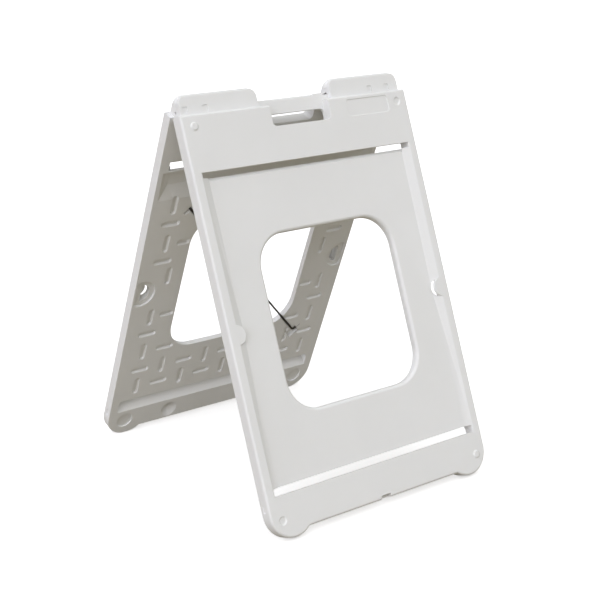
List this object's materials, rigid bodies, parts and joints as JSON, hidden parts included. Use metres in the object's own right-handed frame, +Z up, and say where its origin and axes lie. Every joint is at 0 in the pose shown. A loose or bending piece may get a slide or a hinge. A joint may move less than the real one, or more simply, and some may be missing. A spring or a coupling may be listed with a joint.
{
  "type": "folding a-frame sign stand",
  "caption": "Folding A-frame sign stand with moulded panels, sheet slots, windows, carry handle, pinned top hinge and a stowed stay rod.",
  "frame": {"origin": "centre of the footprint on the floor plane", "axes": "+Z up, hinge line along X, front panel on the -Y side"},
  "size_m": [0.635, 0.7534, 0.9111],
  "materials": {
    "front_plastic": "satin moulded white",
    "rear_plastic": "satin moulded white",
    "pin_steel": "plain",
    "rod_steel": "dark drawn wire"
  },
  "bodies": {
    "front": {"front_panel": "front_plastic", "hinge_pin_left": "pin_steel", "hinge_pin_right": "pin_steel"},
    "rear": {"rear_panel": "rear_plastic", "stay_rod": "rod_steel"}
  },
  "joints": [
    {"name": "panel_hinge", "type": "hinge", "parent": "front", "child": "rear", "pos_m": [0, 0, 0.87419], "axis": [1, 0, 0], "range_deg": [-43.6, 0]}
  ]
}
